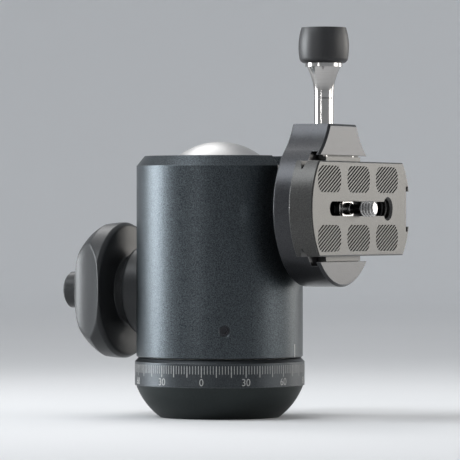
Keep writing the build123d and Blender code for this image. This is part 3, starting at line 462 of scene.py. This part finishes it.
def add_turned(verts, faces, place, path, steps, radius_at=None):
    """Append a closed turned body whose path starts and ends on the axis."""
    base = len(verts)
    verts.append(place(path[0].y, 0.0, 0.0))
    for point in path[1:-1]:
        for step in range(steps):
            turn = 2 * math.pi * step / steps
            radius = point.x
            if radius_at:
                radius = radius_at(point, turn)
            verts.append(place(point.y, turn, radius))
    end = len(verts)
    verts.append(place(path[-1].y, 0.0, 0.0))
    rows = len(path) - 2
    for step in range(steps):
        after = (step + 1) % steps
        faces.append((base, base + 1 + step, base + 1 + after))
        for row in range(rows - 1):
            first = base + 1 + row * steps
            second = first + steps
            faces.append((first + step, second + step, second + after, first + after))
        last = base + 1 + (rows - 1) * steps
        faces.append((last + step, end, last + after))


def soft_min(first, second, width):
    """The lesser of two numbers, with a rounded change from one to the other."""
    gap = max(width - abs(first - second), 0.0) / width
    return min(first, second) - gap * gap * width / 4


def scoop_curve(rear, front, outer, inner, low, high):
    """How far a scoop's floor is from the axis along the knob, or None where it has no scoop."""
    power = 1.4
    most = 1.2

    def depth(along):
        if along < low or along > high:
            return None
        part = min(max((front - along) / (front - rear), 0.0), most)
        return inner + (outer - inner) * part ** power
    return depth


def scooped(scoop, soften):
    """The radius of a knob with three finger scoops in it."""
    lobes = 3
    spacing = 2 * math.pi / lobes
    least_facing = 0.3

    def radius_at(point, turn):
        radius = point.x
        depth = scoop(point.y)
        if depth is not None:
            for lobe in range(lobes):
                facing = math.cos(turn - spacing * lobe)
                if facing > least_facing:
                    radius = soft_min(radius, depth / facing, soften)
        return radius
    return radius_at


def add_knob(name, node, place, points, corner_r, scoop, soften, steps):
    """A knob's grip, which takes the place of its CAD node and rides the body of that name."""
    verts = []
    faces = []
    add_turned(verts, faces, place, rounded_path(points, corner_r), steps, scooped(scoop, soften))
    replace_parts(add_piece(name, verts, faces, "knob_plastic", node), node)


def add_main_knob():
    """The main knob, hollow for its nut, rod and dial; distances run from the pan axis."""
    outer_r = 28.0
    rear = 41.7
    wall_start = 43.4
    wall_length = 6.0
    shoulder_mid = (25.1, 54.0)
    shoulder_end = (21.0, 57.8)
    dome_mid = (15.0, 60.0)
    dome_end = (7.8, 61.2)
    recess_floor = 60.2
    hub_r = 14.0
    hub_rear = 37.4
    skirt_steps = (20.0, 26.8)
    nut_r = 7.02
    nut_end = 50.02
    rod_r = 4.3
    rod_end = 55.0
    dial_r = 4.55
    dial_end = 55.6
    wall = straight(outer_r, wall_start, wall_length, 8)
    shoulder = on_arc(wall[-1], shoulder_mid, shoulder_end, 10)
    dome = on_arc(shoulder_end, dome_mid, dome_end, 8)
    points = [(0.0, rod_end), (rod_r, rod_end), (rod_r, nut_end), (nut_r, nut_end), (nut_r, hub_rear),
              (hub_r, hub_rear), (hub_r, rear), *((radius, rear) for radius in skirt_steps),
              *wall, *shoulder, shoulder_end, *dome, dome_end,
              (dome_end[0], recess_floor), (dial_r, recess_floor), (dial_r, dial_end), (0.0, dial_end)]
    scoop = scoop_curve(rear=41.2, front=60.0, outer=outer_r, inner=14.2, low=41.75, high=61.3)
    place = around((0.0, 0.0, knob_z), (-1.0, 0.0, 0.0), (0.0, -1.0, 0.0))
    add_knob("main_knob_grip", "main_knob", place, points, corner_r=0.7, scoop=scoop, soften=0.6, steps=240)


def add_pan_knob():
    """The pan knob, hollow for its sleeve; distances run from the pan axis."""
    outer_r = 11.3
    rear = 45.6
    wall_start = 46.8
    wall_length = 5.6
    shoulder_mid = (10.6, 56.2)
    shoulder_end = (8.6, 59.2)
    dome_mid = (5.0, 60.9)
    dome_end = (0.4, 61.5)
    hub_r = 6.5
    hub_rear = 42.9
    skirt_r = 10.4
    sleeve_r = 3.62
    sleeve_end = 52.0
    wall = straight(outer_r, wall_start, wall_length, 6)
    shoulder = on_arc(wall[-1], shoulder_mid, shoulder_end, 8)
    dome = on_arc(shoulder_end, dome_mid, dome_end, 6)
    points = [(0.0, sleeve_end), (sleeve_r, sleeve_end), (sleeve_r, hub_rear), (hub_r, hub_rear),
              (hub_r, rear), (skirt_r, rear), *wall, *shoulder, shoulder_end, *dome, (0.0, dome_end[1])]
    scoop = scoop_curve(rear=45.2, front=56.0, outer=outer_r, inner=8.0, low=45.65, high=60.9)
    place = around((0.0, 0.0, pan_z), (0.0, 1.0, 0.0), (1.0, 0.0, 0.0))
    add_knob("pan_knob_grip", "pan_knob", place, points, corner_r=0.5, scoop=scoop, soften=0.5, steps=144)


def ring_point(radius, degrees, height):
    angle = math.radians(degrees)
    return (radius * math.cos(angle), radius * math.sin(angle), height)


def add_tick(verts, faces, radius, degrees, width, low, high):
    """A thin raised bar standing on a round wall."""
    half = math.degrees(width / 2 / radius)
    start = len(verts)
    for reach in (radius - mark_sunk, radius + mark_proud):
        for side in (-half, half):
            for height in (low, high):
                verts.append(ring_point(reach, degrees + side, height))
    for corners in ((0, 1, 3, 2), (4, 6, 7, 5), (0, 4, 5, 1), (2, 3, 7, 6), (0, 2, 6, 4), (1, 5, 7, 3)):
        faces.append(tuple(start + corner for corner in corners))


def add_scale():
    """Ticks every two degrees and numbers every thirty, counted both ways from nought."""
    tick_top = 21.9
    long_low = 17.3
    long_width = 0.36
    short_low = 18.6
    short_width = 0.24
    index_low = 24.95
    index_top = 30.1
    index_width = 0.40
    verts = []
    faces = []
    for degrees in range(0, 360, 2):
        width, low = (short_width, short_low) if degrees % 10 else (long_width, long_low)
        add_tick(verts, faces, ring_r, scale_zero + degrees, width, low, tick_top)
    add_piece("scale_ticks", verts, faces, "ring_metal", "base", "marks", smooth=False)
    for degrees in range(0, 360, 30):
        add_number(str(min(degrees, 360 - degrees)), scale_zero + degrees)
    verts = []
    faces = []
    add_tick(verts, faces, housing_r, 0.0, index_width, index_low, index_top)
    add_piece("index_line", verts, faces, "housing_metal", "pan", "index", smooth=False)


def add_number(text, degrees):
    """A number bent round the ring, with a little thickness."""
    low = 13.9
    tall = 2.9
    narrowed = 0.92
    curve = bpy.data.curves.new("number", "FONT")
    curve.body = text
    curve.size = 1.0
    curve.extrude = 0.02
    curve.align_x = "CENTER"
    holder = bpy.data.objects.new("number", curve)
    bpy.context.scene.collection.objects.link(holder)
    bpy.context.view_layer.update()
    letters = holder.evaluated_get(bpy.context.evaluated_depsgraph_get())
    bm = bmesh.new()
    bm.from_mesh(letters.to_mesh())
    bmesh.ops.remove_doubles(bm, verts=bm.verts, dist=0.0005)
    heights = [vert.co.y for vert in bm.verts]
    foot = min(heights)
    scale = tall / (max(heights) - foot)
    for vert in bm.verts:
        turn = math.degrees(vert.co.x * scale * narrowed / ring_r)
        height = low + (vert.co.y - foot) * scale
        reach = ring_r + (mark_proud if vert.co.z > 0 else -mark_sunk)
        vert.co = Vector(ring_point(reach, degrees + turn, height)) * MM
    mesh = bpy.data.meshes.new(f"scale_number_{round(degrees - scale_zero)}")
    bm.to_mesh(mesh)
    bm.free()
    letters.to_mesh_clear()
    bpy.data.objects.remove(holder)
    bpy.data.curves.remove(curve)
    place_piece(mesh.name, mesh, "ring_metal", "base", "marks")


def add_camera_screw():
    """The camera screw with its thread, neck and head; distances along X from the pan axis."""
    pitch = 1.27
    major_r = 3.175
    minor_r = 2.55
    head_r = 6.5
    head_rear = 52.6
    head_front = 55.3
    shank_r = 2.5
    shank_front = 57.5
    neck_r = 2.0
    low = 62.3
    high = 68.1
    core_r = minor_r + 0.02
    tip_r = minor_r - 0.35
    tip_start = 67.8
    steps = 48
    fade_in = 0.4
    fade_out = 0.3
    ridge = [(0.0, minor_r), (0.30, minor_r), (0.50, major_r), (0.68, major_r), (0.88, minor_r)]
    place = around((0.0, plate_y, ball_z), (1.0, 0.0, 0.0), (0.0, 1.0, 0.0))
    verts = []
    faces = []
    count = int((high - low) / pitch * steps)
    for step in range(count + 1):
        turn = 2 * math.pi * step / steps
        fade = min(1.0, step / (steps * fade_in), (count - step) / (steps * fade_out))
        for offset, radius in ridge:
            along = low + pitch * step / steps + (offset - 0.5) * pitch
            verts.append(place(min(max(along, low), high), turn, minor_r + (radius - minor_r) * fade))
    width = len(ridge)
    for step in range(count):
        for row in range(width - 1):
            first = step * width + row
            faces.append((first, first + width, first + width + 1, first + 1))
    core = [(0.0, head_rear), (head_r, head_rear), (head_r, head_front), (shank_r, head_front),
            (shank_r, shank_front), (neck_r, shank_front), (neck_r, low), (core_r, low),
            (core_r, tip_start), (tip_r, high), (0.0, high)]
    add_turned(verts, faces, place, rounded_path(core, 0.25), steps)
    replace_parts(add_piece("camera_screw_thread", verts, faces, "steel", "camera_screw"), "camera_screw")


def add_hole_thread(name, slot, body, place, radius, low, high, pitch, gap=None):
    """A ridge winding along a hole's wall, left out where a slot opens the hole."""
    steps = 72
    deep = 0.5 * pitch
    sunk = 0.05
    fade_turn = 0.2
    gap_fade = math.radians(10.0)
    foot = 0.44
    crest = 0.06
    count = int((high - low - pitch) / pitch * steps)
    verts = []
    faces = []
    for step in range(count + 1):
        turn = 2 * math.pi * step / steps
        fade = min(1.0, step / (steps * fade_turn), (count - step) / (steps * fade_turn))
        away = math.pi
        if gap is not None:
            away = abs((turn + math.pi) % (2 * math.pi) - math.pi) - gap
            fade = min(fade, max(away, 0.0) / gap_fade)
        centre = low + pitch / 2 + pitch * step / steps
        wall = radius + sunk
        reach = wall - (deep + sunk) * fade
        for offset, distance in ((-foot, wall), (-crest, reach), (crest, reach), (foot, wall)):
            verts.append(place(centre + offset * pitch, turn, distance))
        if step and away > 0.0:
            first = (step - 1) * 4
            for side in range(4):
                after = (side + 1) % 4
                faces.append((first + side, first + after, first + 4 + after, first + 4 + side))
    add_piece(name, verts, faces, slot, body)


def add_hole_threads():
    """The 3/8 inch threads of the plate's hole and of the tripod bush."""
    bore_r = 3.97
    pitch = 1.5875
    slot_half_width = 2.9
    plate_low = plate_rear_x + 4.2
    plate_high = plate_front_x - 0.9
    bush_low = 0.3
    bush_high = 12.8
    in_plate = around((0.0, hole_y, ball_z), (1.0, 0.0, 0.0), (0.0, -1.0, 0.0))
    in_bush = around((0.0, 0.0, 0.0), (0.0, 0.0, 1.0), (1.0, 0.0, 0.0))
    add_hole_thread("plate_hole_thread", "plate_metal", "plate", in_plate, bore_r, plate_low, plate_high,
                    pitch, math.asin(slot_half_width / bore_r))
    add_hole_thread("bush_thread", "steel", "base", in_bush, bore_r, bush_low, bush_high, pitch)


bpy.context.scene.view_settings.view_transform = "Standard"
add_camera()
add_studio()
add_lamps()
add_world()
dress_nodes()
add_main_knob()
add_pan_knob()
add_scale()
add_camera_screw()
add_hole_threads()
